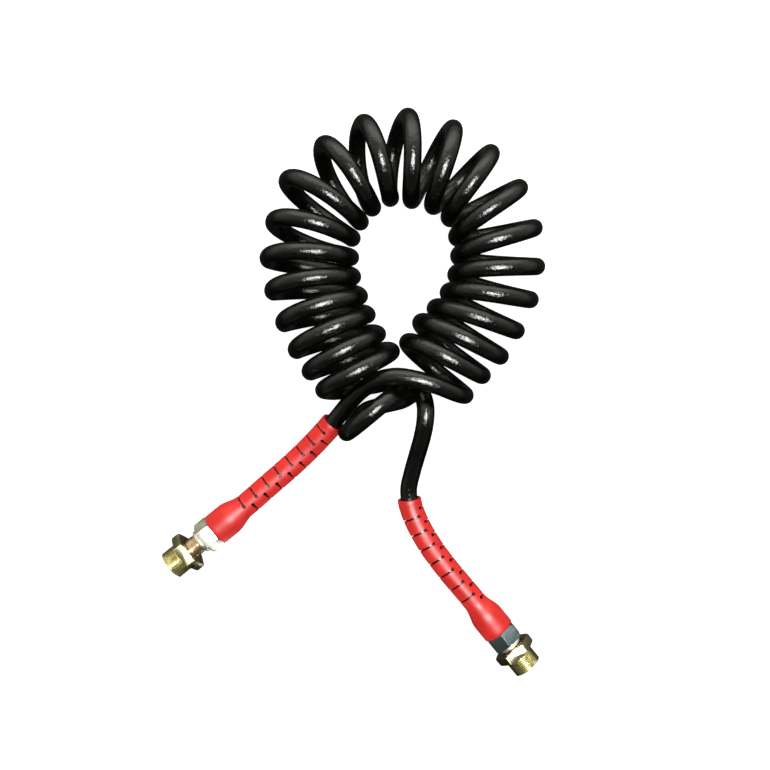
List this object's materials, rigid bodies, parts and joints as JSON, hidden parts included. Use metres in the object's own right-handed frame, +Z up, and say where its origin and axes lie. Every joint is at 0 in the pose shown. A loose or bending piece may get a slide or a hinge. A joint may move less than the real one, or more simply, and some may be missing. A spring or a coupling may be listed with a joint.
{
  "type": "coiled air hose",
  "caption": "Coiled black air hose laid in a ring, with a slotted red bend sleeve and a swivel male threaded fitting on each end.",
  "frame": {"origin": "on the surface the hose lies on, under the middle of its bounding box", "axes": "+Z up from that surface; +Y from the fittings towards the far side of the coiled ring; +X to the right seen from above"},
  "size_m": [0.2806, 0.4126, 0.07],
  "materials": {
    "hose": "glossy",
    "sleeve": "satin",
    "ferrule_steel": "zinc plated",
    "hex_steel": "nickel plated",
    "hex_steel_dark": "plated, darker",
    "brass": "machined",
    "seal_rubber": "matt",
    "yellow_zinc": "yellow passivated zinc"
  },
  "bodies": {
    "hose": {"hose_coil": "hose", "hose_tail_left": "hose", "hose_tail_right": "hose", "bend_sleeve_left": "sleeve", "crimp_ferrule_left": "ferrule_steel", "hose_insert_left": "brass", "hex_body_left": "hex_steel", "stop_ring_left": "ferrule_steel", "neck_tube_left": "brass", "cone_seal_left": "seal_rubber", "bend_sleeve_right": "sleeve", "crimp_ferrule_right": "ferrule_steel", "hose_insert_right": "brass", "hex_body_right": "hex_steel_dark", "stop_ring_right": "ferrule_steel", "neck_tube_right": "brass", "cone_seal_right": "seal_rubber"},
    "ring_left": {"retaining_ring_left": "ferrule_steel"},
    "nut_left": {"union_nut_left": "yellow_zinc"},
    "ring_right": {"retaining_ring_right": "ferrule_steel"},
    "nut_right": {"union_nut_right": "yellow_zinc"}
  },
  "joints": [
    {"name": "left_nut_slide", "type": "slide", "parent": "hose", "child": "ring_left", "axis": [-0.7759, -0.6309, 0], "range_m": [-0.0082, 0]},
    {"name": "left_nut_spin", "type": "hinge", "parent": "ring_left", "child": "nut_left", "pos_m": [-0.11905, -0.11248, 0.0135], "axis": [-0.7759, -0.6309, 0], "continuous": true},
    {"name": "right_nut_slide", "type": "slide", "parent": "hose", "child": "ring_right", "axis": [0.6332, -0.774, 0], "range_m": [0, 0.0082]},
    {"name": "right_nut_spin", "type": "hinge", "parent": "ring_right", "child": "nut_right", "pos_m": [0.12039, -0.18509, 0.0135], "axis": [0.6332, -0.774, 0], "continuous": true}
  ]
}
